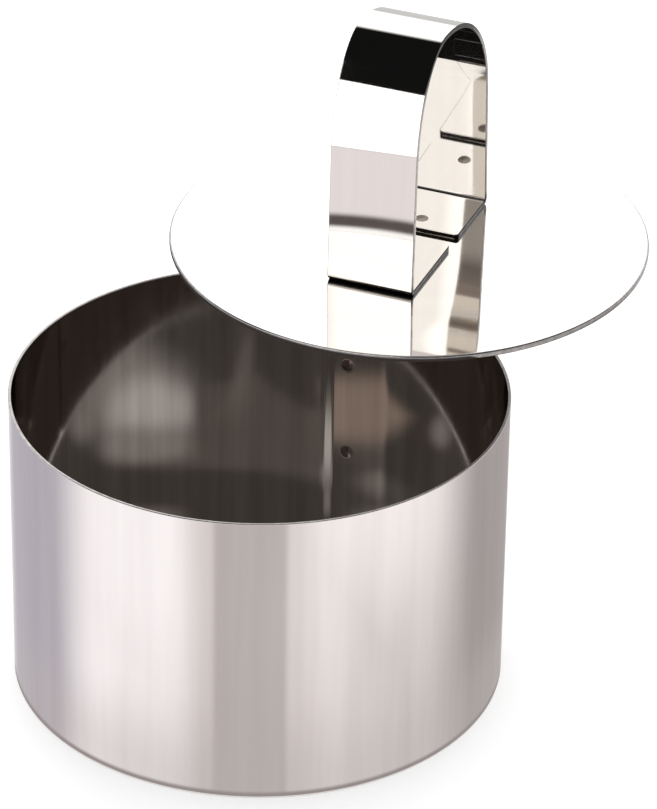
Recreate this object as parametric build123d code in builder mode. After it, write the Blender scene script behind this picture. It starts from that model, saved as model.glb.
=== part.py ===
from build123d import *
from math import atan, cos, degrees, radians, sin, tan
import os

os.makedirs("parts", exist_ok=True)

# Sizes in millimetres, angles in degrees. +Z is up, and the origin is the
# centre of the ring's foot, on the surface that it stands on.

# Ring: a strip of sheet rolled up, open at both ends
ring_diameter = 80
ring_height = 51
ring_sheet = 0.5
ring_edge_break = 0.12

# Lap seam: the strip's outer end steps out over its inner end
seam_angle = 71.5  # of the inner end's edge, from +X towards +Y
lap_length = 9.5
lap_gap = 0.04
joggle_run = 1.6
joggle_clearance = 0.25
seam_weld_count = 2
seam_weld_from_edge = 2.4
seam_weld_diameter = 2.2

# Pusher: a disc that slides down through the ring
disc_clearance = 0.5  # radial, to the bore
disc_thickness = 1.0
disc_edge_round = 0.3
pusher_x = 24.1  # it is held above the ring, to one side
pusher_y = 27.3
pusher_height = 12.1  # of its underside above the rim

# Handle: one bent strap, with both feet turned inwards. Its legs lean in a
# little and run into an arch whose top lies towards the front.
strap_width = 14.5
strap_thickness = 0.8
strap_rise = 40.6
strap_aside = 0.5  # of the strap's middle from the disc's centre
arch_rise = 18.7
arch_to_front = 6.1  # of the arch's top from the disc's centre
arch_front_depth = 12.2
arch_back_depth = 20.4
front_lean = 1.9  # of a leg from upright
back_lean = 3.4
strap_bend = 0.4  # inner radius where a leg turns into its foot
strap_turn = 67.6  # of the line from leg to leg, from +X towards +Y
foot_gap = 3.6
foot_corner = 0.6
foot_weld_from_tip = 3.1
foot_weld_aside = 0.2  # of a spot from the strap's middle
foot_weld_diameter = 2.2
foot_weld_depth = 0.5  # into the disc

# Weld spots sit a little below the sheet, as the electrodes leave them
weld_dimple = 0.08
weld_clearance = 0.02
overrun = 1.0

outer_radius = ring_diameter / 2
bore_radius = outer_radius - ring_sheet
lap_inner_radius = outer_radius + lap_gap
lap_outer_radius = lap_inner_radius + ring_sheet
disc_radius = bore_radius - disc_clearance
disc_bottom = ring_height + pusher_height
disc_top = disc_bottom + disc_thickness


def on_circle(radius, angle):
    return (radius * cos(radians(angle)), radius * sin(radians(angle)))


def arc_angle(length):
    return degrees(length / outer_radius)


# The strip's section, seen from above. From the seam's edge it runs clockwise
# round the bore, steps out beside the edge where it began, and ends outside.
step_end = seam_angle + arc_angle(joggle_clearance)
step_start = step_end + arc_angle(joggle_run)
lap_end = seam_angle - arc_angle(lap_length)
full_turn = 360
bore_sweep = step_start - seam_angle - full_turn

with BuildPart() as ring_band:
    with BuildSketch():
        with BuildLine():
            CenterArc((0, 0), bore_radius, seam_angle, bore_sweep)
            Line(on_circle(bore_radius, step_start), on_circle(lap_inner_radius, step_end))
            CenterArc((0, 0), lap_inner_radius, step_end, lap_end - step_end)
            Line(on_circle(lap_inner_radius, lap_end), on_circle(lap_outer_radius, lap_end))
            CenterArc((0, 0), lap_outer_radius, lap_end, step_end - lap_end)
            Line(on_circle(lap_outer_radius, step_end), on_circle(outer_radius, step_start))
            CenterArc((0, 0), outer_radius, step_start, -bore_sweep)
            Line(on_circle(outer_radius, seam_angle), on_circle(bore_radius, seam_angle))
        make_face()
    extrude(amount=ring_height)
    rim_and_foot = ring_band.faces().filter_by(Axis.Z).edges()
    chamfer(rim_and_foot, ring_edge_break)

# The spots that hold the lap, spread evenly up the seam. Each is a plug of
# fused metal through both layers, with a seat of its own in the strip.
seam_weld_angle = seam_angle - arc_angle(seam_weld_from_edge)
seam_weld_pitch = ring_height / (seam_weld_count + 1)
seam_weld_out = (cos(radians(seam_weld_angle)), sin(radians(seam_weld_angle)), 0)
seam_weld_planes = [
    Plane(origin=(0, 0, seam_weld_pitch * (number + 1)), z_dir=seam_weld_out)
    for number in range(seam_weld_count)
]
spot_inner = bore_radius + weld_dimple
spot_outer = lap_outer_radius - weld_dimple

with BuildPart() as seam_spot_welds:
    for plane in seam_weld_planes:
        with BuildSketch(plane.offset(spot_inner)):
            Circle(seam_weld_diameter / 2)
        extrude(amount=spot_outer - spot_inner)

with ring_band:
    for plane in seam_weld_planes:
        with BuildSketch(plane.offset(bore_radius - overrun)):
            Circle(seam_weld_diameter / 2 + weld_clearance)
        extrude(amount=lap_outer_radius - bore_radius + 2 * overrun, mode=Mode.SUBTRACT)

# Pusher disc
with BuildPart() as pusher_disc:
    with BuildSketch(Plane.XY.offset(disc_bottom)):
        with Locations((pusher_x, pusher_y)):
            Circle(disc_radius)
    extrude(amount=disc_thickness)
    fillet(pusher_disc.edges().filter_by(GeomType.CIRCLE), disc_edge_round)

# Handle strap: its side view lies in an upright plane along the strap's
# middle, with x from the front leg to the back leg and y up from the disc
leg_to_leg = (cos(radians(strap_turn)), sin(radians(strap_turn)), 0)
strap_across = (sin(radians(strap_turn)), -cos(radians(strap_turn)), 0)
strap_x = pusher_x + strap_aside * strap_across[0]
strap_y = pusher_y + strap_aside * strap_across[1]
strap_plane = Plane(origin=(strap_x, strap_y, disc_top), x_dir=leg_to_leg, z_dir=strap_across)
arch_base = strap_rise - arch_rise
foot_tip = foot_gap / 2


def half_edge(side, lean, arch_depth, inset):
    """One side of half the strap's edge line: its foot, its leaning leg, and the arch that the leg runs into."""
    depth = arch_depth - inset
    rise = arch_rise - inset
    start = atan(tan(radians(lean)) * rise / depth)
    arch_x = side * depth * cos(start) - arch_to_front
    arch_y = arch_base + rise * sin(start)
    heel_x = arch_x + side * tan(radians(lean)) * (arch_y - inset)
    Line((side * foot_tip, inset), (heel_x, inset))
    Line((heel_x, inset), (arch_x, arch_y))
    first = degrees(start) if side > 0 else 90
    EllipticalCenterArc((-arch_to_front, arch_base), depth, rise, first, arc_size=90 - degrees(start))


with BuildPart() as handle_strap:
    with BuildSketch(strap_plane) as strap_side:
        with BuildLine():
            for inset in (0, strap_thickness):
                half_edge(-1, front_lean, arch_front_depth, inset)
                half_edge(1, back_lean, arch_back_depth, inset)
            for side in (-1, 1):
                Line((side * foot_tip, 0), (side * foot_tip, strap_thickness))
        make_face()
        low_corners = strap_side.vertices().group_by(Axis.Y)
        for corners, radius in zip(low_corners, (strap_bend + strap_thickness, strap_bend)):
            heels = corners.sort_by(Axis.X)
            fillet([heels[0], heels[-1]], radius)
    extrude(amount=strap_width / 2, both=True)
    tips = handle_strap.edges().filter_by(Axis.Z).sort_by_distance((strap_x, strap_y, disc_top))[:4]
    fillet(tips, foot_corner)

# Handle spots: one through each foot and into the disc, beside its middle
foot_weld_reach = foot_tip + foot_weld_from_tip
foot_weld_places = [
    (
        strap_x + side * foot_weld_reach * leg_to_leg[0] - foot_weld_aside * strap_across[0],
        strap_y + side * foot_weld_reach * leg_to_leg[1] - foot_weld_aside * strap_across[1],
    )
    for side in (-1, 1)
]
spot_bottom = disc_top - foot_weld_depth
spot_top = disc_top + strap_thickness - weld_dimple

with BuildPart() as handle_spot_welds:
    with BuildSketch(Plane.XY.offset(spot_bottom)):
        with Locations(foot_weld_places):
            Circle(foot_weld_diameter / 2)
    extrude(amount=spot_top - spot_bottom)

for piece in (pusher_disc, handle_strap):
    with piece:
        with BuildSketch(Plane.XY.offset(spot_bottom - weld_clearance)):
            with Locations(foot_weld_places):
                Circle(foot_weld_diameter / 2 + weld_clearance)
        extrude(amount=foot_weld_depth + strap_thickness + overrun, mode=Mode.SUBTRACT)

ring_band.part.label = "ring_band"
export_step(ring_band.part, "parts/ring_band.step")
seam_spot_welds.part.label = "seam_spot_welds"
export_step(seam_spot_welds.part, "parts/seam_spot_welds.step")
pusher_disc.part.label = "pusher_disc"
export_step(pusher_disc.part, "parts/pusher_disc.step")
handle_strap.part.label = "handle_strap"
export_step(handle_strap.part, "parts/handle_strap.step")
handle_spot_welds.part.label = "handle_spot_welds"
export_step(handle_spot_welds.part, "parts/handle_spot_welds.step")
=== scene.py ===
from math import cos, pi, radians, sin

import bpy
import numpy as np
from mathutils import Matrix, Vector


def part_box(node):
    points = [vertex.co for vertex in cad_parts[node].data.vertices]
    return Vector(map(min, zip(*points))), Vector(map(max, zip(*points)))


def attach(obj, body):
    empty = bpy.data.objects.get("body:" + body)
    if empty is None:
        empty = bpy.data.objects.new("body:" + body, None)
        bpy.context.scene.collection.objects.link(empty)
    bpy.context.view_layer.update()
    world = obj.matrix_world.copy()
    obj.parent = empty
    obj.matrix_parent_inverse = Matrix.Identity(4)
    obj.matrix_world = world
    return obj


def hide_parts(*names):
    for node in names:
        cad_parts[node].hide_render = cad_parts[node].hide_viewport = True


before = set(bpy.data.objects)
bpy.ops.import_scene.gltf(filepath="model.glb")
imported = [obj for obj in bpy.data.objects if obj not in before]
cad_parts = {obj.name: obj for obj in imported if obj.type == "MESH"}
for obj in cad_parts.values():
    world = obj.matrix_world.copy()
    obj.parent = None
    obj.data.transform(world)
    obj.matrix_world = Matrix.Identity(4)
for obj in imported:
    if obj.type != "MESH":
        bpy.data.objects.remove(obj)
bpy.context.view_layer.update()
mm = 0.001  # the scene is in metres, and the dictionaries are in millimetres
print("frame loaded:", ", ".join(sorted(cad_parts)))


def metres(lengths):
    return tuple(length * mm for length in lengths)


# Mesh helpers

def spaced(*stops):
    # runs through the stops (start, end, steps), each stretch evenly spaced, with no value twice
    runs = [np.linspace(start, end, steps, endpoint=False) for start, end, steps in stops]
    return np.concatenate(runs + [[stops[-1][1]]])


def eased(x):
    x = np.clip(x, 0, 1)
    return x * x * (3 - 2 * x)  # smooth step from 0 to 1


def dished(distance, radius):
    return np.clip(1 - (distance / radius) ** 2, 0, 1) ** 2  # 1 in the middle of a spot, 0 at its edge


def roundedLoop(across, along, edge, steps, rows):
    # Closed outline of a sheet's section: across runs between its two faces, along follows the given rows up the low
    # face and down the high one, and quarter circles of radius edge join them: edge - edge cos a, edge sin a.
    half = across / 2
    turn = np.linspace(0, pi / 2, steps + 1)[1:-1]
    low, high = rows[0], rows[-1]
    sides = [
        (np.full(len(rows), -half), rows),
        (-half + edge - edge * np.cos(turn), high + edge * np.sin(turn)),
        (np.array([-half + edge, half - edge]), np.array([high + edge] * 2)),
        (half - edge + edge * np.sin(turn), high + edge * np.cos(turn)),
        (np.full(len(rows), half), rows[::-1]),
        (half - edge + edge * np.cos(turn), low - edge * np.sin(turn)),
        (np.array([half - edge, -half + edge]), np.array([low - edge] * 2)),
        (-half + edge - edge * np.sin(turn), low - edge * np.cos(turn)),
    ]
    return np.concatenate([s[0] for s in sides]), np.concatenate([s[1] for s in sides])


def gridFaces(rows, columns, closeColumns=False, offset=0):
    # quads of a grid of points, numbered row by row
    r, c = np.meshgrid(np.arange(rows - 1), np.arange(columns if closeColumns else columns - 1), indexing="ij")
    r2, c2 = r + 1, (c + 1) % columns
    quads = np.stack([r * columns + c, r * columns + c2, r2 * columns + c2, r2 * columns + c], axis=-1)
    return quads.reshape(-1, 4) + offset


def makeMesh(name, points, faces, uv=None, attributes=None, materials=(), faceMaterial=None, flat=()):
    # mesh from an array of points in millimetres, shaded smooth apart from the faces named in flat
    mesh = bpy.data.meshes.new(name)
    mesh.from_pydata((points * mm).tolist(), [], [list(map(int, f)) for f in faces])
    smooth = np.ones(len(faces), dtype=bool)
    smooth[list(flat)] = False
    mesh.polygons.foreach_set("use_smooth", smooth)
    if uv is not None:
        layer = mesh.uv_layers.new(name="surface")
        corner = np.empty(len(mesh.loops), dtype=np.int32)
        mesh.loops.foreach_get("vertex_index", corner)
        layer.data.foreach_set("uv", uv[corner].ravel())
    for label, values in (attributes or {}).items():
        mesh.attributes.new(label, "FLOAT", "POINT").data.foreach_set("value", values.ravel())
    for material in materials:
        mesh.materials.append(material)
    if faceMaterial is not None:
        mesh.polygons.foreach_set("material_index", np.asarray(faceMaterial, dtype=np.int32))
    mesh.update()
    piece = bpy.data.objects.new(name, mesh)
    bpy.context.scene.collection.objects.link(piece)
    return piece


# Shader helpers

def newGroup(name, inputs, outputs):
    group = bpy.data.node_groups.new(name, "ShaderNodeTree")
    for label, kind, value in inputs:
        socket = group.interface.new_socket(name=label, in_out="INPUT", socket_type=kind)
        if value is not None:
            socket.default_value = value
    for label, kind in outputs:
        group.interface.new_socket(name=label, in_out="OUTPUT", socket_type=kind)
    return group, group.nodes.new("NodeGroupInput"), group.nodes.new("NodeGroupOutput")


def addNode(tree, kind, settings=None, **links):
    # a node with its settings and its inputs: a value is set, a socket is linked, and names use _ for a space
    node = tree.nodes.new(kind)
    for key, value in (settings or {}).items():
        setattr(node, key, value)
    for key, value in links.items():
        numbered = key[0] == "i" and key[1:].isdigit()
        socket = node.inputs[int(key[1:]) if numbered else key.replace("_", " ")]
        if isinstance(value, bpy.types.NodeSocket):
            tree.links.new(value, socket)
        else:
            socket.default_value = value
    return node


def math(tree, operation, a, b=0.0, clamp=False):
    return addNode(tree, "ShaderNodeMath", {"operation": operation, "use_clamp": clamp}, i0=a, i1=b).outputs[0]


def mixColour(tree, factor, a, b):
    node = addNode(tree, "ShaderNodeMix", {"data_type": "RGBA"}, Factor=factor)
    for socket, value in ((node.inputs[6], a), (node.inputs[7], b)):
        if isinstance(value, bpy.types.NodeSocket):
            tree.links.new(value, socket)
        else:
            socket.default_value = value
    return node.outputs[2]


def mapRange(tree, value, low, high, toLow=0.0, toHigh=1.0, smooth=False):
    settings = {"interpolation_type": "SMOOTHSTEP" if smooth else "LINEAR", "clamp": True}
    node = addNode(tree, "ShaderNodeMapRange", settings, Value=value)
    for index, amount in enumerate((low, high, toLow, toHigh)):
        node.inputs[index + 1].default_value = amount
    return node.outputs[0]


def grey(level):
    return level, level, level, 1


def objectPlace(tree):
    # the object coordinates and their three numbers, in metres
    place = addNode(tree, "ShaderNodeTexCoord").outputs["Object"]
    return place, addNode(tree, "ShaderNodeSeparateXYZ", i0=place).outputs


def mappedPlace(tree):
    return addNode(tree, "ShaderNodeUVMap", {"uv_map": "surface"}).outputs[0]


def lengthOf(tree, vector):
    return addNode(tree, "ShaderNodeVectorMath", {"operation": "LENGTH"}, i0=vector).outputs["Value"]


def mirroredAgain(tree, times):
    # 1 for light that has been mirrored at least so many times, as between the handle's legs
    return math(tree, "GREATER_THAN", addNode(tree, "ShaderNodeLightPath").outputs["Glossy Depth"], times - 0.5)


def makeGrainGroup():
    # Rolling and polishing lines: noise drawn out along the surface map's first way, fine lines and broad bands.
    group, source, out = newGroup(
        "sheetGrain",
        [("Vector", "NodeSocketVector", None), ("Drawn Out", "NodeSocketFloat", 0.02),
         ("Lines Per mm", "NodeSocketFloat", 3.0), ("Bands Per mm", "NodeSocketFloat", 0.2)],
        [("Lines", "NodeSocketFloat"), ("Bands", "NodeSocketFloat")])
    apart = addNode(group, "ShaderNodeSeparateXYZ", i0=source.outputs["Vector"])
    along = math(group, "MULTIPLY", apart.outputs[0], source.outputs["Drawn Out"])
    for label, detail in (("Lines", 3.0), ("Bands", 2.0)):
        across = math(group, "MULTIPLY", apart.outputs[1], source.outputs[label + " Per mm"])
        place = addNode(group, "ShaderNodeCombineXYZ", i0=along, i1=across, i2=detail)
        noise = addNode(group, "ShaderNodeTexNoise", Vector=place.outputs[0], Scale=1.0, Detail=detail, Roughness=0.6)
        group.links.new(noise.outputs[0], out.inputs[label])
    return group


def makeMarksGroup():
    # Handling marks on object coordinates in metres: soft smudges, and a few hair scratches where a noise crosses
    # its middle value.
    group, source, out = newGroup(
        "handlingMarks",
        [("Vector", "NodeSocketVector", None), ("Smudge Size", "NodeSocketFloat", 0.012),
         ("Seed", "NodeSocketFloat", 0.0)],
        [("Smudge", "NodeSocketFloat"), ("Scratch", "NodeSocketFloat")])
    rate = math(group, "DIVIDE", 1.0, source.outputs["Smudge Size"])
    smudge = addNode(group, "ShaderNodeTexNoise", {"noise_dimensions": "4D"}, Vector=source.outputs["Vector"],
                     W=source.outputs["Seed"], Scale=rate, Detail=4.0, Roughness=0.55, Distortion=0.6)
    group.links.new(mapRange(group, smudge.outputs[0], 0.45, 0.75, smooth=True), out.inputs["Smudge"])
    fine = math(group, "MULTIPLY", rate, 3.0)
    scratch = addNode(group, "ShaderNodeTexNoise", {"noise_dimensions": "4D"}, Vector=source.outputs["Vector"],
                      W=source.outputs["Seed"], Scale=fine, Detail=1.0, Roughness=0.5, Distortion=1.6)
    away = math(group, "ABSOLUTE", math(group, "SUBTRACT", scratch.outputs[0], 0.5))
    line = mapRange(group, away, 0.0, 0.004, 1.0, 0.0)
    broken = mapRange(group, smudge.outputs[0], 0.5, 0.6)
    group.links.new(math(group, "MULTIPLY", line, broken), out.inputs["Scratch"])
    return group


def makePatchGroup():
    # Soft patch: 1 in its middle and 0 at its edge. Oval fades with the distance from its middle, and Box with the
    # larger of the two shares of its half sizes.
    group, source, out = newGroup(
        "softPatch",
        [("Vector", "NodeSocketVector", None), ("Middle", "NodeSocketVector", None),
         ("Half Size", "NodeSocketVector", None), ("Turn", "NodeSocketVector", None), ("Core", "NodeSocketFloat", 0.5)],
        [("Oval", "NodeSocketFloat"), ("Box", "NodeSocketFloat")])
    own = addNode(group, "ShaderNodeMapping", {"vector_type": "TEXTURE"}, Vector=source.outputs["Vector"],
                  Location=source.outputs["Middle"], Rotation=source.outputs["Turn"],
                  Scale=source.outputs["Half Size"])
    apart = addNode(group, "ShaderNodeSeparateXYZ", i0=own.outputs[0])
    level = addNode(group, "ShaderNodeCombineXYZ", i0=apart.outputs[0], i1=apart.outputs[1])
    length = lengthOf(group, level.outputs[0])
    side = math(group, "MAXIMUM", *(math(group, "ABSOLUTE", apart.outputs[k]) for k in (0, 1)))
    for label, distance in (("Oval", length), ("Box", side)):
        node = addNode(group, "ShaderNodeMapRange", {"interpolation_type": "SMOOTHSTEP"}, Value=distance,
                       i1=source.outputs["Core"], i2=1.0, i3=1.0, i4=0.0)
        group.links.new(node.outputs[0], out.inputs[label])
    return group


bandSpread, lineSpread = (0.35, 0.65), (0.3, 0.7)  # where a noise's values mostly lie
sheetGrain = makeGrainGroup()
handlingMarks = makeMarksGroup()
softPatch = makePatchGroup()

# colour and dark are the steel between its bands, rough runs from the clean metal to the smudged
steelLooks = {
    "ringOutside": {"colour": (0.80, 0.765, 0.765, 1), "dark": (0.75, 0.71, 0.71, 1), "rough": (0.07, 0.14),
                    "linesPerMm": 2.2, "bandsPerMm": 0.22, "drawnOut": 0.012, "bump": 0.0012, "seed": 1.0},
    # The ring's inside face is the same sheet as its outside, painted darker with deeper dark bands: painted shade of
    # the ring's inside.
    "ringInsideShaded": {"colour": (0.62, 0.585, 0.56, 1), "dark": (0.49, 0.455, 0.43, 1), "rough": (0.07, 0.15),
                   "linesPerMm": 2.2, "bandsPerMm": 0.3, "drawnOut": 0.012, "bump": 0.0012, "seed": 2.0},
    "pusherPlate": {"colour": (0.81, 0.785, 0.755, 1), "dark": (0.79, 0.765, 0.735, 1), "rough": (0.02, 0.06),
                    "linesPerMm": 4.0, "bandsPerMm": 0.25, "drawnOut": 0.02, "bump": 0.0001, "seed": 3.0},
    "strapSteel": {"colour": (0.81, 0.78, 0.745, 1), "dark": (0.79, 0.76, 0.725, 1), "rough": (0.03, 0.07),
                   "linesPerMm": 4.0, "bandsPerMm": 0.4, "drawnOut": 0.02, "bump": 0.0002, "seed": 4.0},
}
# near black painted shade, for the strap's crease where it turns into a foot and for its edges near the feet and over
# the crown
paintedShadeColour = (0.012, 0.011, 0.011, 1)
scratchRough, creaseRough = 0.06, 0.3  # added to the roughness


def newMaterial(name, **values):
    # a material whose shader has these values, with _ for a space in their names
    material = bpy.data.materials.new(name)
    material.use_nodes = True
    shader = material.node_tree.nodes["Principled BSDF"]
    for label, value in values.items():
        shader.inputs[label.replace("_", " ")].default_value = value
    return material, material.node_tree, shader


def feedMetal(tree, shader, colour, rough, relief, depth):
    bump = addNode(tree, "ShaderNodeBump", Height=relief, Distance=depth * mm)
    for socket, label in ((colour, "Base Color"), (rough, "Roughness"), (bump.outputs[0], "Normal")):
        tree.links.new(socket, shader.inputs[label])


def makeSteel(name, creaseShaded=False):
    look = steelLooks[name]
    material, tree, shader = newMaterial(name, Metallic=1.0)
    grain = addNode(tree, "ShaderNodeGroup", {"node_tree": sheetGrain}, Vector=mappedPlace(tree),
                    Drawn_Out=look["drawnOut"], Lines_Per_mm=look["linesPerMm"], Bands_Per_mm=look["bandsPerMm"])
    place = addNode(tree, "ShaderNodeTexCoord").outputs["Object"]
    marks = addNode(tree, "ShaderNodeGroup", {"node_tree": handlingMarks}, Vector=place, Seed=look["seed"])
    bands = mapRange(tree, grain.outputs["Bands"], *bandSpread)
    colour = mixColour(tree, bands, look["colour"], look["dark"])
    low, high = look["rough"]
    fromLines = mapRange(tree, grain.outputs["Lines"], *lineSpread, low, (low + high) / 2)
    rough = math(tree, "ADD", fromLines, math(tree, "MULTIPLY", marks.outputs["Smudge"], (high - low) / 2))
    rough = math(tree, "ADD", rough, math(tree, "MULTIPLY", marks.outputs["Scratch"], scratchRough))
    if creaseShaded:
        # painted shade: the crease attribute darkens the strap's colour towards near black where it bends into a foot
        creaseShade = addNode(tree, "ShaderNodeAttribute", {"attribute_name": "creaseShade"}).outputs["Fac"]
        colour = mixColour(tree, creaseShade, colour, paintedShadeColour)
        rough = math(tree, "ADD", rough, math(tree, "MULTIPLY", creaseShade, creaseRough))
    feedMetal(tree, shader, colour, rough, grain.outputs["Lines"], look["bump"])
    return material


# Bumps are in millimetres, and an edge is as much less and more rough than its own roughness.
edgeBump, weldBump, edgeLess, edgeMore, weldRough = 0.004, 0.01, 0.06, 0.08, (0.28, 0.5)
edgeLooks = {
    "ringRim": {"light": (0.46, 0.44, 0.43, 1), "dark": (0.36, 0.34, 0.33, 1), "rough": 0.32},
    "plateEdge": {"light": (0.36, 0.345, 0.34, 1), "dark": (0.26, 0.25, 0.245, 1), "rough": 0.18},
    "strapEdge": {"light": (0.44, 0.42, 0.41, 1), "dark": (0.34, 0.32, 0.31, 1), "rough": 0.34},
}


def makeCutEdge(name, shadeBelow=None, shadeAbove=None):
    # Sheared and tumbled edge: short uneven streaks on object coordinates, duller than the sheet's face. On the strap's
    # edge, painted shade darkens it near its feet and over its crown, at heights in metres.
    look = edgeLooks[name]
    material, tree, shader = newMaterial(name, Metallic=1.0)
    place, axes = objectPlace(tree)
    noise = addNode(tree, "ShaderNodeTexNoise", Vector=place, Scale=900.0, Detail=3.0, Roughness=0.6).outputs[0]
    colour = mixColour(tree, mapRange(tree, noise, *bandSpread), look["light"], look["dark"])
    for limits in (shadeBelow, shadeAbove):
        if limits:
            colour = mixColour(tree, mapRange(tree, axes[2], *limits, smooth=True), colour, paintedShadeColour)
    rough = mapRange(tree, noise, *lineSpread, look["rough"] - edgeLess, look["rough"] + edgeMore)
    feedMetal(tree, shader, colour, rough, noise, edgeBump)
    return material


def makeWeldSteel(name, dark, light):
    # Spot weld: dull grey metal browned by the heat, on object coordinates.
    material, tree, shader = newMaterial(name, Metallic=1.0)
    place = addNode(tree, "ShaderNodeTexCoord").outputs["Object"]
    noise = addNode(tree, "ShaderNodeTexNoise", Vector=place, Scale=1400.0, Detail=3.0).outputs[0]
    rough = mapRange(tree, noise, *lineSpread, *weldRough)
    feedMetal(tree, shader, mixColour(tree, noise, (*dark, 1), (*light, 1)), rough, noise, weldBump)
    return material


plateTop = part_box("pusher_disc")[1][2]
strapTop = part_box("handle_strap")[1][2]
outsideSteel, shadedInsideSteel, ringRim = makeSteel("ringOutside"), makeSteel("ringInsideShaded"), makeCutEdge("ringRim")
plateSteel, plateEdge = makeSteel("pusherPlate"), makeCutEdge("plateEdge")
strapSteel = makeSteel("strapSteel", creaseShaded=True)
# the strap's edge gets near black painted shade just above the plate and over the crown
strapEdge = makeCutEdge("strapEdge", shadeBelow=(plateTop + 1.2 * mm, plateTop + 2.6 * mm, 1.0, 0.0),
                        shadeAbove=(strapTop - 9 * mm, strapTop - 3 * mm, 0.0, 1.0))
weldSteel = makeWeldSteel("weldSteel", (0.20, 0.16, 0.13), (0.42, 0.38, 0.34))
seamWeldSteel = makeWeldSteel("seamWeldSteel", (0.09, 0.07, 0.06), (0.28, 0.24, 0.21))
print("materials made")

# Ring: one strip of sheet, rolled round and lapped over its own end

# Rows of points lie close beside an edge or a cut, and reach a little past a weld. A dent in the sheet is a little
# wider than its plug.
closeRow, closeAngle, besideWeld, dentWide, edgeSteps = 0.05, 0.03, 1.3, 1.15, 4
ringShape = {
    "radius": 40.0,
    "height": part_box("ring_band")[1][2] / mm,
    "sheet": 0.5,
    "edgeRound": 0.14,
    "seamAngle": 71.5,
    "lapLength": 9.5,
    "lapGap": 0.04,
    "stepRun": 1.6,
    "stepClear": 0.25,
    "flatness": 0.6,
    "weldFromEdge": 2.4,
    "weldRadius": 1.1,
    "weldDent": 0.1,
    "welds": 2,
}
sheetMiddle = ringShape["radius"] - ringShape["sheet"] + ringShape["sheet"] / 2


def arcAngle(length):
    return length / ringShape["radius"] * 180 / pi  # degrees that a length takes up round the ring


lapAngle = arcAngle(ringShape["lapLength"])
stepEnd = 360 - arcAngle(ringShape["stepClear"])
stepStart = stepEnd - arcAngle(ringShape["stepRun"])
weldAngle = arcAngle(ringShape["weldFromEdge"])
weldHeights = [ringShape["height"] * (k + 1) / (ringShape["welds"] + 1) for k in range(ringShape["welds"])]


def stripRadius(swept):
    # Radius of the sheet's middle after a swept angle from the seam's edge: the ring's own, plus a smooth step out
    # before the lap, less a share of the arc's height over its chord, by which the lap is pressed flat.
    out = (ringShape["sheet"] + ringShape["lapGap"]) * eased((swept - stepStart) / (stepEnd - stepStart))
    fromMiddle = np.radians((swept % 360) - lapAngle / 2)
    half = radians(lapAngle / 2)
    chord = sheetMiddle * (1 - cos(half) / np.cos(np.clip(fromMiddle, -half, half)))
    return sheetMiddle + out - ringShape["flatness"] * chord * ((swept % 360) <= lapAngle)


def ringSpotDent(swept, height):
    # depth of the weld spots' dents at a place on the lap
    across = np.radians((swept % 360) - weldAngle) * ringShape["radius"]
    depth = np.zeros(np.broadcast(swept, height).shape)
    for weldHeight in weldHeights:
        depth += ringShape["weldDent"] * dished(np.hypot(across, height - weldHeight),
                                                ringShape["weldRadius"] * dentWide)
    return depth * ((swept % 360) <= lapAngle)


def onRing(swept, radius, height):
    # point at a swept angle clockwise from the seam: radius cos a, radius sin a, height, with a = seam - swept
    angle = np.radians(ringShape["seamAngle"] - swept)
    return np.stack(np.broadcast_arrays(radius * np.cos(angle), radius * np.sin(angle), height), axis=-1)


def makeRingBand():
    # The strip: its section, a tall thin rounded rectangle, carried along the spiral of stripRadius.
    edge, tall = ringShape["edgeRound"], ringShape["height"]
    near = ringShape["weldRadius"] * besideWeld
    stops = [(edge, edge + closeRow, 1), (edge + closeRow, weldHeights[0] - near, 8)]
    for low, high in zip(weldHeights, weldHeights[1:]):
        stops += [(low - near, low + near, 16), (low + near, high - near, 8)]
    stops += [(weldHeights[-1] - near, weldHeights[-1] + near, 16),
              (weldHeights[-1] + near, tall - edge - closeRow, 8), (tall - edge - closeRow, tall - edge, 1)]
    across, height = roundedLoop(ringShape["sheet"], tall, edge, edgeSteps, spaced(*stops))
    nearAngle = arcAngle(near)
    lapStops = [[(start + closeAngle, start + weldAngle - nearAngle, 2),
                 (start + weldAngle - nearAngle, start + weldAngle + nearAngle, 16),
                 (start + weldAngle + nearAngle, start + lapAngle, 8)] for start in (0, 360)]
    swept = spaced((0, closeAngle, 1), *lapStops[0], (lapAngle, stepStart, 300), (stepStart, stepEnd, 12),
                   (stepEnd, 360 + closeAngle, 1), *lapStops[1])
    sweptGrid, acrossGrid = np.meshgrid(swept, across, indexing="ij")
    heightGrid = np.broadcast_to(height, sweptGrid.shape)
    dent = ringSpotDent(sweptGrid, heightGrid)
    innerFace = (acrossGrid < 0) & (sweptGrid < 180)
    outerFace = (acrossGrid > 0) & (sweptGrid > 180)
    radius = stripRadius(sweptGrid) + acrossGrid + dent * innerFace - dent * outerFace
    points = onRing(sweptGrid, radius, heightGrid).reshape(-1, 3)
    count = len(across)
    caps = [np.arange(count), np.arange(count)[::-1] + (len(swept) - 1) * count]
    faces = list(gridFaces(len(swept), count, closeColumns=True)[:, ::-1]) + caps
    uv = np.stack([heightGrid, np.radians(sweptGrid) * ringShape["radius"]], axis=-1).reshape(-1, 2)
    middle = (across + np.roll(across, -1)) / 2
    half = ringShape["sheet"] / 2 - 0.01
    finish = np.where(middle > half, 0, np.where(middle < -half, 1, 2))
    faceMaterial = np.concatenate([np.tile(finish, len(swept) - 1), [2, 2]])
    return makeMesh("ringBand", points, faces, uv, materials=[outsideSteel, shadedInsideSteel, ringRim],
                    faceMaterial=faceMaterial, flat=[-1, -2])


ringBand = makeRingBand()
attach(ringBand, "ring")
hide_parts("ring_band")
print("ring band made:", len(ringBand.data.polygons), "faces")


def spotProfile(radius, dent, low, high, proud=0.012):
    # Outline of a weld plug from the middle of its low face to the middle of its high face: radius, and place along
    # the plug. Each face follows the dent in the sheet and stands a hair proud of it.
    r = radius * np.array([0, 0.2, 0.4, 0.6, 0.75, 0.88, 0.96, 1.0])
    depth = dent * dished(r, radius * dentWide)
    return np.concatenate([r, r[::-1]]), np.concatenate([low + depth - proud, (high - depth + proud)[::-1]])


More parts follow.
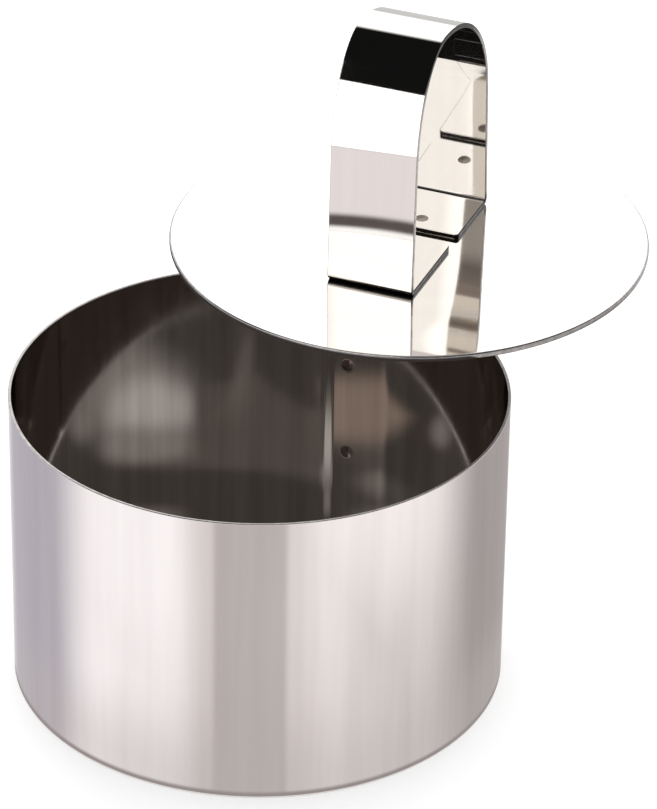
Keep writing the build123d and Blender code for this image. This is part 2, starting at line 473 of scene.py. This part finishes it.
def makePlugs(name, material, frames, radius, dent, low, high):
    # Weld plugs: spotProfile turned about each plug's axis. A frame is origin, axis, side and up.
    r, place = spotProfile(radius, dent, low, high)
    turn = np.linspace(0, 2 * pi, 32, endpoint=False)
    c = np.arange(len(turn))
    nextC = (c + 1) % len(turn)
    points, faces, start = [], [], 0
    for origin, axis, side, up in frames:
        spoke = np.cos(turn)[:, None] * side + np.sin(turn)[:, None] * up
        rings = origin + place[1:-1, None, None] * axis + r[1:-1, None, None] * spoke
        points += [rings.reshape(-1, 3), np.stack([origin + place[0] * axis, origin + place[-1] * axis])]
        faces += list(gridFaces(len(r) - 2, len(turn), closeColumns=True, offset=start))
        first, lastRow = start + len(rings) * len(turn), start + (len(r) - 3) * len(turn)
        faces += list(np.stack([np.full(len(c), first), start + nextC, start + c], axis=-1))
        faces += list(np.stack([np.full(len(c), first + 1), lastRow + c, lastRow + nextC], axis=-1))
        start = first + 2
    return makeMesh(name, np.concatenate(points), faces, materials=[material])


seamTurn = radians(ringShape["seamAngle"] - weldAngle)
seamOut = np.array([cos(seamTurn), sin(seamTurn), 0])
seamSide = np.array([-seamOut[1], seamOut[0], 0])
seamFrames = [(np.array([0, 0, height]), seamOut, seamSide, np.array([0, 0, 1.0])) for height in weldHeights]
spotMiddle = float(stripRadius(np.array([weldAngle]))[0])
seamSpots = makePlugs("seamSpotWelds", seamWeldSteel, seamFrames, ringShape["weldRadius"], ringShape["weldDent"],
                      spotMiddle - ringShape["sheet"] / 2,
                      float(stripRadius(np.array([360 + weldAngle]))[0]) + ringShape["sheet"] / 2)
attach(seamSpots, "ring")
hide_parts("seam_spot_welds")
print("seam welds made")

# Pusher plate: a flat disc with an eased edge

discLow, discHigh = (np.array(corner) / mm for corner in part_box("pusher_disc"))
plateShape = {
    "centre": (discLow[:2] + discHigh[:2]) / 2,
    "radius": (discHigh[0] - discLow[0]) / 2,
    "bottom": discLow[2],
    "top": discHigh[2],
    "edgeRound": 0.28,
    "flatRows": (2, 8, 16, 26),
    "around": 256,
}


def makePusherPlate():
    # Outline of half the plate, turned about its upright axis. The flats have a close row beside the edge.
    edge, radius = plateShape["edgeRound"], plateShape["radius"]
    low, high = plateShape["bottom"], plateShape["top"]
    turn = np.linspace(0, pi / 2, 6)
    flat = np.array([*plateShape["flatRows"], radius - edge - 0.06])
    r = np.concatenate([flat, radius - edge + edge * np.sin(turn), radius - edge + edge * np.cos(turn), flat[::-1]])
    z = np.concatenate([np.full(len(flat), low), low + edge - edge * np.cos(turn), high - edge + edge * np.sin(turn),
                        np.full(len(flat), high)])
    around = np.linspace(0, 2 * pi, plateShape["around"], endpoint=False)
    x = plateShape["centre"][0] + r[:, None] * np.cos(around)
    y = plateShape["centre"][1] + r[:, None] * np.sin(around)
    points = np.stack([x, y, np.broadcast_to(z[:, None], x.shape)], axis=-1).reshape(-1, 3)
    middle = np.array([[*plateShape["centre"], low], [*plateShape["centre"], high]])
    points = np.concatenate([points, middle])
    count = len(around)
    c = np.arange(count)
    nextC = (c + 1) % count
    last = (len(r) - 1) * count
    fans = np.concatenate([np.stack([np.full(count, len(points) - 2), nextC, c], axis=-1),
                           np.stack([np.full(count, len(points) - 1), last + c, last + nextC], axis=-1)])
    faces = list(gridFaces(len(r), count, closeColumns=True)) + list(fans)
    onEdge = (r[:-1] + r[1:]) / 2 > radius - edge
    faceMaterial = np.concatenate([np.repeat(onEdge, count), np.zeros(2 * count)])
    return makeMesh("pusherPlate", points, faces, points[:, :2] - plateShape["centre"],
                    materials=[plateSteel, plateEdge], faceMaterial=faceMaterial)


pusherPlate = makePusherPlate()
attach(pusherPlate, "pusher")
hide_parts("pusher_disc")
print("pusher plate made")

# Handle strap: one strip bent into a loop, both feet turned in

strapShape = {
    "width": 14.5,
    "sheet": 0.8,
    "rise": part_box("handle_strap")[1][2] / mm - plateShape["top"],
    "aside": 0.5,
    "archRise": 18.7,
    "archToFront": 6.1,
    "front": {"depth": 12.2, "lean": 1.9},
    "back": {"depth": 20.4, "lean": 3.4},
    "bend": 0.4,
    "turn": 67.6,
    "footGap": 3.6,
    "corner": 0.6,
    "edgeRound": 0.1,
    "weldFromTip": 3.1,
    "weldAside": -0.2,
    "weldRadius": 1.1,
    "weldDent": 0.12,
    "weldBottom": -0.5,
    # the painted crease shade: the height above the plate where it starts to fade, how far it fades, and its share on
    # the strip's inner face
    "creaseShadeTop": 0.72,
    "creaseShadeFade": 0.35,
    "creaseShadeInside": 0.9,
}
legToLeg = np.array([cos(radians(strapShape["turn"])), sin(radians(strapShape["turn"])), 0])
strapAcross = np.array([legToLeg[1], -legToLeg[0], 0])
upward = np.array([0, 0, 1.0])
strapOrigin = np.array([*plateShape["centre"], plateShape["top"]]) + strapShape["aside"] * strapAcross
strapWeldReach = strapShape["footGap"] / 2 + strapShape["weldFromTip"]


def halfPath(side, middle):
    # Middle line of half the bent strip from foot tip to the arch's top, seen from the side: the foot on
    # y = sheet / 2, a bend of radius bend + sheet / 2, the leg leaning in, and a quarter of an ellipse from the point
    # where it leans as the leg does: x = middle + side depth cos a, y = base + rise sin a. Gives x, y and direction.
    sheet, look = strapShape["sheet"], strapShape[side]
    sign = 1 if side == "back" else -1
    depth, rise = look["depth"] - sheet / 2, strapShape["archRise"] - sheet / 2
    base = strapShape["rise"] - strapShape["archRise"]
    lean = radians(look["lean"])
    first = np.arctan(np.tan(lean) * rise / depth)
    legX, legY = middle + sign * depth * cos(first), base + rise * sin(first)
    heel = sign * legX + np.tan(lean) * (legY - sheet / 2)
    bend = strapShape["bend"] + sheet / 2
    turn = pi / 2 + lean
    centre = heel - bend * np.tan(turn / 2)
    tip, near = strapShape["footGap"] / 2, strapShape["weldRadius"] * besideWeld
    u = spaced((tip, tip + 0.1, 4), (tip + 0.1, tip + 0.7, 6), (tip + 0.7, strapWeldReach - near, 3),
               (strapWeldReach - near, strapWeldReach + near, 16), (strapWeldReach + near, centre - 0.05, 3))
    a = np.linspace(0, turn, 15)
    x = [u, centre + bend * np.sin(a)]
    y = [np.full(len(u), sheet / 2), sheet / 2 + bend - bend * np.cos(a)]
    dx, dy = [np.ones(len(u)), np.cos(a)], [np.zeros(len(u)), np.sin(a)]
    share = np.concatenate([[0.01, 0.02, 0.03, 0.045, 0.06, 0.09], np.linspace(0.15, 0.85, 5)])
    x.append(x[1][-1] + share * (sign * legX - x[1][-1]))
    y.append(y[1][-1] + share * (legY - y[1][-1]))
    dx.append(np.full(len(share), -sin(lean)))
    dy.append(np.full(len(share), cos(lean)))
    b = np.linspace(first, pi / 2, 49)
    x.append(sign * middle + depth * np.cos(b))
    y.append(base + rise * np.sin(b))
    slope = np.hypot(depth * np.sin(b), rise * np.cos(b))
    dx.append(-depth * np.sin(b) / slope)
    dy.append(rise * np.cos(b) / slope)
    x, y, dx, dy = (np.concatenate(part) for part in (x, y, dx, dy))
    return sign * x, y, sign * dx, dy


def strapPath():
    # middle line of the whole strip from the front foot's tip to the back foot's, and its distance from the tips
    middle = -strapShape["archToFront"]
    front, back = halfPath("front", middle), halfPath("back", middle)
    parts = []
    for way, (ahead, behind) in enumerate(zip(front, back)):
        parts.append(np.concatenate([ahead, (-behind if way > 1 else behind)[-2::-1]]))
    x, y, dx, dy = parts
    run = np.concatenate([[0], np.cumsum(np.hypot(np.diff(x), np.diff(y)))])
    return x, y, dx, dy, run, np.minimum(run, run[-1] - run)


def makeHandleStrap():
    # The strip's rounded section carried along strapPath. The outer side is the path's left side. Painted crease shade:
    # the attribute is 1 where the strip turns into a foot and fades out on both sides of the bend, near black for the
    # fold's shade.
    x, y, dx, dy, run, fromTip = strapPath()
    sheet, width, edge = strapShape["sheet"], strapShape["width"], strapShape["edgeRound"]
    near, spot = strapShape["weldRadius"] * besideWeld, strapShape["weldAside"]
    rows = spaced((-width / 2 + edge, -width / 2 + edge + 0.04, 1), (-width / 2 + edge + 0.04, spot - near, 4),
                  (spot - near, spot + near, 16), (spot + near, width / 2 - edge - 0.04, 4),
                  (width / 2 - edge - 0.04, width / 2 - edge, 1))
    across, along = roundedLoop(sheet, width, edge, edgeSteps, rows)
    corner = strapShape["corner"]
    cut = np.clip(corner - fromTip, 0, None)
    narrow = corner - np.sqrt(np.clip(corner ** 2 - cut ** 2, 0, None))
    ease = np.clip(edge - fromTip, 0, None)
    thin = edge - np.sqrt(np.clip(edge ** 2 - ease ** 2, 0, None))
    alongGrid = along[None, :] * (1 - (narrow + thin)[:, None] / (width / 2))
    acrossGrid = across[None, :] * (1 - thin[:, None] / (sheet / 2))
    fromWeld = np.hypot((np.abs(x) - strapWeldReach)[:, None], alongGrid - spot)
    onFoot = (y < sheet)[:, None] & (across < 0)[None, :]
    acrossGrid = acrossGrid + strapShape["weldDent"] * dished(fromWeld, strapShape["weldRadius"] * dentWide) * onFoot
    side = (x[:, None] - dy[:, None] * acrossGrid)[..., None] * legToLeg
    up = (y[:, None] + dx[:, None] * acrossGrid)[..., None] * upward
    points = strapOrigin + side + up + alongGrid[..., None] * strapAcross
    count = len(across)
    caps = [np.arange(count), np.arange(count)[::-1] + (len(x) - 1) * count]
    faces = list(gridFaces(len(x), count, closeColumns=True)[:, ::-1]) + caps
    uv = np.stack([np.broadcast_to(run[:, None], alongGrid.shape), alongGrid], axis=-1).reshape(-1, 2)
    bendShade = eased((np.abs(dy) - 0.02) / 0.1) * (1 - eased((y - strapShape["creaseShadeTop"]) / strapShape["creaseShadeFade"]))
    creaseShade = bendShade[:, None] * np.where(across < 0, strapShape["creaseShadeInside"], 1.0)[None, :]
    middle = (along + np.roll(along, -1)) / 2
    onSide = np.abs(middle) > width / 2 - edge
    faceMaterial = np.concatenate([np.tile(onSide, len(x) - 1), [1, 1]])
    return makeMesh("handleStrap", points.reshape(-1, 3), faces, uv, {"creaseShade": creaseShade},
                    [strapSteel, strapEdge], faceMaterial, flat=[-1, -2])


handleStrap = makeHandleStrap()
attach(handleStrap, "pusher")
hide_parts("handle_strap")

footMiddle = strapOrigin + strapShape["weldAside"] * strapAcross
footFrames = [(footMiddle + side * strapWeldReach * legToLeg, upward, legToLeg, np.cross(upward, legToLeg))
              for side in (-1, 1)]
footSpots = makePlugs("handleSpotWelds", weldSteel, footFrames, strapShape["weldRadius"], strapShape["weldDent"],
                      strapShape["weldBottom"], strapShape["sheet"])
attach(footSpots, "pusher")
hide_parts("handle_spot_welds")
print("handle made")

# Studio: white floor and back wall, dark ceiling, and cards that only reflections see


def patch(kind, middle, half, core, colour, share=1.0, turn=0.0):
    # An Oval or a Box of painted light or shade that darkens or colours a card seen in reflections, full in its core
    # and gone at its edge. Patches are painted in order. Places and half sizes are in millimetres, and for floorFan in
    # degrees round the ring and millimetres out.
    return {"kind": kind, "middle": middle, "half": half, "core": core, "colour": colour, "share": share, "turn": turn}


studio = {
    "floorHalf": 4000.0,
    "floorWhite": 0.92,
    "floorRough": 0.9,
    "floorGlow": 0.26,
    "mirroredFloor": 0.95,
    "mirroredTint": (1, 0.985, 0.98, 1),
    "ceiling": 0.007,  # share of the world's light that shines in metal
    "wallGlow": 1.75,
    "footGlow": 0.68,
    "wallHigh": 1500.0,
    "wallFade": 500.0,
    "footFade": (130.0, 220.0),
    "backWall": ((-1400, 900), (1400, 900)),
    # what the wall shows in metal that is itself mirrored, at shares of its height
    "deepWall": [(0.0, (0.30, 0.27, 0.26)), (0.13, (0.22, 0.20, 0.19)), (0.26, (0.50, 0.48, 0.47)),
                 (0.33, (1.22, 1.22, 1.17)), (0.41, (1.22, 1.22, 1.17)), (0.46, (0.50, 0.46, 0.43)),
                 (0.57, (0.22, 0.19, 0.18))],
    # name, start and end on the plan, height and glow
    "walls": [("leftWall", (-1000, -1300), (-1000, 900), 700, 1.0),
              ("rightWall", (1000, 900), (1000, -1300), 700, 1.0),
              ("frontWall", (1000, -1300), (-1000, -1300), 500, 0.9)],
}
farTable = {
    "near": 160.0,
    "far": 899.0,
    "half": 400.0,
    "height": 0.5,
    "begin": (160.0, 225.0),
    "sides": (250.0, 400.0),
    "deepChange": (335.0, 365.0),
    "deepNear": (1.1, 1.06, 1.0, 1),
    "deepFar": (0.36, 0.32, 0.30, 1),
}
floorFan = {
    "reach": 170.0,
    "fadeFrom": 105.0,
    "ends": (82.0, 88.0),  # degrees at which the fan fades
    "height": 0.3,
    "colour": (1.15, 1.11, 1.09),
    # painted reflections on the ring's outside: light and dark upright bands, and painted shade towards the ring's foot
    # and in a thin line along it
    "patches": [
        patch("Box", (-45, 30), (42, 200), 0.6, (1.2, 1.18, 1.18)),
        patch("Box", (-2, 30), (20, 200), 0.42, (0.88, 0.84, 0.82)),
        patch("Box", (-1.9, 30), (9.2, 200), 0.8, (0.62, 0.585, 0.565)),
        patch("Box", (-66, 30), (26, 200), 0.4, (0.55, 0.525, 0.58)),
        patch("Box", (75, 30), (36, 200), 0.4, (0.45, 0.42, 0.41)),
        patch("Box", (48, 0), (42, 85), 0.2, (0.45, 0.42, 0.40), share=0.5),
        patch("Box", (0, 0), (50, 60), 0.1, (0.5, 0.46, 0.44), share=0.25),
        patch("Box", (0, 0), (200, 30), 0.1, (0.61, 0.575, 0.56), share=0.45),
        patch("Box", (0, 0), (200, 1.6), 0.3, (0.38, 0.35, 0.34)),
    ],
}
ringFloor = {
    "radius": 39.45,
    "height": 0.2,
    "colour": (0.50, 0.47, 0.45),
    "twice": (0.06, 0.047, 0.04),  # in metal that is itself mirrored
    # painted reflections for the ring's inside: near black painted shade in the middle, with soft painted highlights
    # and darker patches
    "patches": [
        patch("Oval", (0, 0), (39.1, 39.1), 0.985, (0.07, 0.062, 0.056)),
        patch("Oval", (-15, 31), (8, 6), 0.2, (0.24, 0.21, 0.20)),
        patch("Oval", (17, 30), (9, 7), 0.2, (0.22, 0.20, 0.185)),
        patch("Oval", (26, 13), (26, 27), 0.35, (0.28, 0.26, 0.245)),
        patch("Oval", (18, 9.2), (15, 15.2), 0.25, (0.57, 0.535, 0.515)),
        patch("Oval", (7, 18), (9, 9), 0.3, (0.31, 0.28, 0.26)),
        patch("Box", (0.1, 4.4), (9, 16), 0.8, (0.12, 0.105, 0.095), turn=30.5),
        patch("Box", (4.3, -12), (3, 22), 0.2, (0.16, 0.14, 0.125)),
        patch("Box", (-17, 8), (10, 14), 0.45, (0.32, 0.25, 0.21), turn=-23.5),
    ],
}


def glowMaterial(name, colour=grey(0)):
    # a surface that gives light and reflects none
    return newMaterial(name, Base_Color=grey(0), Specular_IOR_Level=0.0, Emission_Color=colour,
                       Emission_Strength=1.0)


def paintPatches(tree, place, colour, patches):
    colour = (*colour, 1)
    for spot in patches:
        mask = addNode(tree, "ShaderNodeGroup", {"node_tree": softPatch}, Vector=place, Middle=(*spot["middle"], 0),
                       Half_Size=(*spot["half"], 1), Turn=(0, 0, radians(spot["turn"])), Core=spot["core"])
        mask = math(tree, "MULTIPLY", mask.outputs[spot["kind"]], spot["share"])
        colour = mixColour(tree, mask, colour, (*spot["colour"], 1))
    return colour


def makeCard(name, points, material, uv=None, faces=None):
    # a card in millimetres that only reflections see, one face unless its faces are given
    faces = [range(len(points))] if faces is None else faces
    card = makeMesh(name, np.asarray(points, dtype=float), faces, uv, materials=[material])
    card.visible_camera = card.visible_shadow = card.visible_diffuse = False
    return card


def ramp(tree, value, stops):
    node = addNode(tree, "ShaderNodeValToRGB", Fac=value)
    for place, colour in stops[1:-1]:
        node.color_ramp.elements.new(place)
    for element, (place, colour) in zip(node.color_ramp.elements, stops):
        element.position, element.color = place, (*colour, 1)
    return node.outputs[0]


def makeWall(name, start, end, high, material):
    makeCard(name, [(*start, 0), (*end, 0), (*end, high), (*start, high)], material)


def makeBackWall():
    # White behind the object with a soft upper edge and a grey foot. Deeper mirrorings show it brown.
    material, tree, shader = glowMaterial("backWall")
    high, height = studio["wallHigh"], objectPlace(tree)[1][2]
    mask = mapRange(tree, height, (high - studio["wallFade"]) * mm, high * mm, smooth=True)
    foot = mapRange(tree, height, *metres(studio["footFade"]), smooth=True)
    plain = mixColour(tree, foot, grey(studio["footGlow"]), grey(studio["wallGlow"]))
    plain = mixColour(tree, mask, plain, grey(studio["ceiling"]))
    deep = ramp(tree, mapRange(tree, height, 0.0, high * mm), studio["deepWall"])
    tree.links.new(mixColour(tree, mirroredAgain(tree, 3), plain, deep), shader.inputs["Emission Color"])
    makeWall("backWall", *studio["backWall"], high, material)


def makeFarTable():
    # The far side of the table: grey, as the handle's crown mirrors it, and in deeper mirrorings pale and then dark.
    material, tree, shader = glowMaterial("farTable")
    x, y, _ = objectPlace(tree)[1]
    change, start, aside = (metres(farTable[key]) for key in ("deepChange", "begin", "sides"))
    deep = mixColour(tree, mapRange(tree, y, *change, smooth=True), farTable["deepNear"],
                     farTable["deepFar"])
    tree.links.new(mixColour(tree, mirroredAgain(tree, 3), grey(studio["footGlow"]), deep),
                   shader.inputs["Emission Color"])
    begin = mapRange(tree, y, *start, smooth=True)
    sides = mapRange(tree, math(tree, "ABSOLUTE", x), *aside, 1.0, 0.0, smooth=True)
    tree.links.new(math(tree, "MULTIPLY", begin, sides), shader.inputs["Alpha"])
    near, far, half, height = (farTable[key] for key in ("near", "far", "half", "height"))
    points = [(-half, near, height), (half, near, height), (half, far, height), (-half, far, height)]
    makeCard("farTable", points, material)


def makeFloorFan():
    # The floor as the ring's outside mirrors it: a level ray that meets the wall a degrees from the front goes on at
    # 2a, so x = R sin a + d sin 2a and y = -R cos a - d cos 2a, and the surface map holds a and d.
    material, tree, shader = glowMaterial("floorFan")
    place = mappedPlace(tree)
    tree.links.new(paintPatches(tree, place, floorFan["colour"], floorFan["patches"]), shader.inputs["Emission Color"])
    apart = addNode(tree, "ShaderNodeSeparateXYZ", i0=place)
    ends = mapRange(tree, math(tree, "ABSOLUTE", apart.outputs[0]), *floorFan["ends"], 1.0, 0.0, smooth=True)
    outer = mapRange(tree, apart.outputs[1], floorFan["fadeFrom"], floorFan["reach"], 1.0, 0.0, smooth=True)
    tree.links.new(math(tree, "MULTIPLY", ends, outer), shader.inputs["Alpha"])
    most = floorFan["ends"][1]
    angle, out = np.meshgrid(np.linspace(-most, most, 177), np.linspace(0, floorFan["reach"], 16), indexing="ij")
    a, start = np.radians(angle), ringShape["radius"] + 0.02
    points = np.stack([start * np.sin(a) + out * np.sin(2 * a), -start * np.cos(a) - out * np.cos(2 * a),
                       np.full(a.shape, floorFan["height"])], axis=-1)
    uv = np.stack([angle, out], axis=-1).reshape(-1, 2)
    makeCard("floorFan", points.reshape(-1, 3), material, uv, gridFaces(*a.shape))


def makeRingFloor():
    # the floor inside the ring as its wall mirrors it: a dark card standing in for the shade inside the ring, with
    # painted highlights and bands, and darker still where it is mirrored twice
    material, tree, shader = glowMaterial("ringFloor")
    place = mappedPlace(tree)
    colour = paintPatches(tree, place, ringFloor["colour"], ringFloor["patches"])
    tree.links.new(mixColour(tree, mirroredAgain(tree, 2), colour, (*ringFloor["twice"], 1)),
                   shader.inputs["Emission Color"])
    turn = np.linspace(0, 2 * pi, 128, endpoint=False)
    points = np.stack([ringFloor["radius"] * np.cos(turn), ringFloor["radius"] * np.sin(turn),
                       np.full(len(turn), ringFloor["height"])], axis=-1)
    makeCard("ringFloor", points, material, points[:, :2])


overhead = {
    "height": 160.0,
    "reach": 75.0,
    "solid": 0.7,  # share of its reach
    "shortest": 88.0,  # length of a ray that sees it
    "colour": (0.95, 0.94, 0.93),
    "patches": [patch("Box", (-20, 18), (60, 26), 0.2, (0.50, 0.485, 0.475), turn=35)],
}
nearCard = {
    "middle": (-23.0, -32.0),
    "along": (0.92, -0.38),
    "half": 45.0,
    "low": 62.9,
    "high": 133.0,
    "tallPart": [(-11.5, 133.0), (-20.5, 178.0), (-45.0, 178.0)],  # along the card, and height
    "glow": 1.42,
    "rightGlow": 1.8,
    "rightFrom": (-31.0, -28.0),
    "slant": 0.315,  # the table's far edge on the card, at a height less this share of x
    "tableEdge": (73.5, 76.2),
    "lineColour": (0.72, 0.68, 0.69),
    "tableReach": 62.0,
    "tableColour": (0.95, 0.895, 0.92),
    "nearColour": (1.25, 1.25, 1.25),
    "underEdge": (40.7, 41.5),  # dark nearer than this, where only the pusher's own edge mirrors it
    "shadow": (42.2, 44.2, 46.6, 49.2),  # distances from the pusher's axis where it starts, is full, and ends
    "shadowColour": (0.115, 0.098, 0.094),
}


def makeNearCard():
    # a white card in front of the handle, higher at its left, with the table's far edge near its foot
    middle, along = np.array(nearCard["middle"]), np.array(nearCard["along"])
    half, low, high = nearCard["half"], nearCard["low"], nearCard["high"]
    outline = [(-half, low), (half, low), (half, high), *nearCard["tallPart"]]
    points = [(*(middle + place * along), height) for place, height in outline]
    material, tree, shader = glowMaterial("nearCard")
    x, _, z = objectPlace(tree)[1]
    slanted = math(tree, "SUBTRACT", z, math(tree, "MULTIPLY", x, nearCard["slant"]))
    rise = mapRange(tree, slanted, *metres(nearCard["tableEdge"]))
    atRight = mapRange(tree, x, *metres(nearCard["rightFrom"]), smooth=True)
    white = mixColour(tree, atRight, grey(nearCard["glow"]), grey(nearCard["rightGlow"]))
    lower = ramp(tree, rise, [(0.0, nearCard["tableColour"]), (0.5, nearCard["tableColour"]),
                              (0.8, nearCard["lineColour"])])
    above = mapRange(tree, rise, 0.85, 1.0)
    tree.links.new(mixColour(tree, above, lower, white), shader.inputs["Emission Color"])
    makeCard("nearCard", points, material)


def makeTableCard():
    # The pale table between the near card and the pusher. It shines upwards only, and has painted shade right under the
    # pusher's edge, a painted bright band beside it, and the pusher's painted soft shadow a little way out from its
    # edge.
    middle, along = np.array(nearCard["middle"]), np.array(nearCard["along"])
    half, low = nearCard["half"], nearCard["low"]
    start, end = middle - half * along, middle + half * along
    back = np.array([-along[1], along[0]]) * nearCard["tableReach"]
    points = np.array([[*corner, low] for corner in (start, end, end + back, start + back)])
    material, tree, shader = glowMaterial("tableCard")
    place = addNode(tree, "ShaderNodeTexCoord").outputs["Object"]
    fromPusher = addNode(tree, "ShaderNodeVectorMath", {"operation": "SUBTRACT"}, i0=place,
                         i1=(*plateShape["centre"] * mm, low * mm))
    distance = lengthOf(tree, fromPusher.outputs[0])
    begin, full, lessen, stop = metres(nearCard["shadow"])
    within = mapRange(tree, distance, lessen, stop, 1.0, 0.0, smooth=True)
    colour = mixColour(tree, within, (*nearCard["tableColour"], 1), (*nearCard["shadowColour"], 1))
    beside = mapRange(tree, distance, begin, full, 1.0, 0.0, smooth=True)
    colour = mixColour(tree, beside, colour, (*nearCard["nearColour"], 1))
    under = mapRange(tree, distance, *metres(nearCard["underEdge"]), 1.0, 0.0, smooth=True)
    tree.links.new(mixColour(tree, under, colour, (*nearCard["shadowColour"], 1)), shader.inputs["Emission Color"])
    below = addNode(tree, "ShaderNodeNewGeometry").outputs["Backfacing"]
    tree.links.new(math(tree, "SUBTRACT", 1.0, below), shader.inputs["Alpha"])
    makeCard("tableCard", points, material)


def makeOverhead():
    # A soft pale card high over the pusher, for the plate alone: light that comes from nearer, off the handle's
    # crown, or that is mirrored twice passes through it.
    reach = overhead["reach"]
    material, tree, shader = glowMaterial("overhead")
    place = mappedPlace(tree)
    tree.links.new(paintPatches(tree, place, overhead["colour"], overhead["patches"]), shader.inputs["Emission Color"])
    rays = addNode(tree, "ShaderNodeLightPath")
    far = math(tree, "GREATER_THAN", rays.outputs["Ray Length"], overhead["shortest"] * mm)
    once = math(tree, "SUBTRACT", 1.0, mirroredAgain(tree, 2))
    soft = mapRange(tree, lengthOf(tree, place), reach * overhead["solid"], reach, 1.0, 0.0, smooth=True)
    tree.links.new(math(tree, "MULTIPLY", math(tree, "MULTIPLY", far, once), soft), shader.inputs["Alpha"])
    turn = np.linspace(0, 2 * pi, 64, endpoint=False)
    level = reach * np.stack([np.cos(turn), np.sin(turn)], axis=-1)
    points = np.column_stack([level + plateShape["centre"], np.full(len(turn), overhead["height"])])
    makeCard("overhead", points, material, level)


def makeFloor():
    # White floor: matt white that holds the shadow, with glow for the camera and for reflections.
    material, tree, shader = newMaterial("whiteFloor", Base_Color=grey(studio["floorWhite"]),
                                         Roughness=studio["floorRough"], Specular_IOR_Level=0.0)
    path = addNode(tree, "ShaderNodeLightPath")
    seen = math(tree, "MAXIMUM", path.outputs["Is Camera Ray"], path.outputs["Is Glossy Ray"])
    seen = math(tree, "MAXIMUM", seen, path.outputs["Is Transmission Ray"])
    glow = addNode(tree, "ShaderNodeEmission", Color=(1, 1, 1, 1),
                   Strength=math(tree, "MULTIPLY", seen, studio["floorGlow"]))
    total = addNode(tree, "ShaderNodeAddShader", i0=shader.outputs[0], i1=glow.outputs[0])
    plain = addNode(tree, "ShaderNodeEmission", Color=studio["mirroredTint"], Strength=studio["mirroredFloor"])
    shown = addNode(tree, "ShaderNodeMixShader", i0=path.outputs["Is Glossy Ray"], i1=total.outputs[0],
                    i2=plain.outputs[0])
    tree.links.new(shown.outputs[0], tree.nodes["Material Output"].inputs[0])
    half = studio["floorHalf"]
    points = np.array([(-half, -half, 0), (half, -half, 0), (half, half, 0), (-half, half, 0)])
    makeMesh("floor", points, [(0, 1, 2, 3)], materials=[material])


def makeWorld():
    # White surround, dark where metal mirrors it.
    world = bpy.data.worlds.new("studioWorld")
    bpy.context.scene.world = world
    world.use_nodes = True
    tree = world.node_tree
    background = tree.nodes["Background"]
    background.inputs["Color"].default_value = (1, 1, 1, 1)
    shining = addNode(tree, "ShaderNodeLightPath").outputs["Is Glossy Ray"]
    tree.links.new(mapRange(tree, shining, 0.0, 1.0, 1.0, studio["ceiling"]), background.inputs["Strength"])


makeFloor()
makeWorld()
makeBackWall()
makeFarTable()
for name, start, end, high, glow in studio["walls"]:
    makeWall(name, start, end, high, glowMaterial(name, grey(glow))[0])
makeFloorFan()
makeRingFloor()
makeNearCard()
makeTableCard()
makeOverhead()

cameraSetup = {
    "distance": 760.5,
    "elevation": 32.2,
    "aimHeight": 30.0,
    "yaw": 0.976,
    "pitch": 31.013,
    "roll": -0.907,
    "focalLength": 209.7,
    "clip": (0.01, 20.0),  # metres
}
softbox = {"place": (0, 1.3, 0.75), "target": (0, 0, 0.05), "size": (1.8, 1.0), "power": 9.0,
           "colour": (1, 0.99, 0.985)}  # metres


def makeCamera():
    # The camera stands in front at a distance and elevation from a point on the ring's axis, and looks along the
    # direction of its yaw and pitch, turned about that direction by its roll.
    elevation, yaw = radians(cameraSetup["elevation"]), radians(cameraSetup["yaw"])
    pitch, roll = radians(cameraSetup["pitch"]), radians(cameraSetup["roll"])
    forward = Vector((sin(yaw) * cos(pitch), cos(yaw) * cos(pitch), -sin(pitch)))
    level = Vector((cos(yaw), -sin(yaw), 0))
    down = forward.cross(level)
    right = cos(roll) * level + sin(roll) * down
    down = -sin(roll) * level + cos(roll) * down
    data = bpy.data.cameras.new("camera")
    data.lens = cameraSetup["focalLength"]
    data.clip_start, data.clip_end = cameraSetup["clip"]
    camera = bpy.data.objects.new("camera", data)
    bpy.context.scene.collection.objects.link(camera)
    place = Matrix((right, -down, -forward)).transposed().to_4x4()
    place.translation = Vector((0, -cameraSetup["distance"] * cos(elevation),
                                cameraSetup["distance"] * sin(elevation) + cameraSetup["aimHeight"])) * mm
    camera.matrix_world = place
    bpy.context.scene.camera = camera


def makeSoftbox():
    # a broad lamp high behind the object that metal doesn't mirror
    data = bpy.data.lights.new("backSoftbox", "AREA")
    data.shape, data.size, data.size_y = "RECTANGLE", *softbox["size"]
    data.energy, data.color = softbox["power"], softbox["colour"]
    lamp = bpy.data.objects.new("backSoftbox", data)
    lamp.location = softbox["place"]
    lamp.rotation_mode = "QUATERNION"
    lamp.rotation_quaternion = (Vector(softbox["target"]) - Vector(softbox["place"])).to_track_quat("-Z", "Y")
    lamp.visible_glossy = False
    bpy.context.scene.collection.objects.link(lamp)


makeCamera()
makeSoftbox()
bpy.context.scene.view_settings.view_transform = "Standard"

print("stage, lamps and camera made")
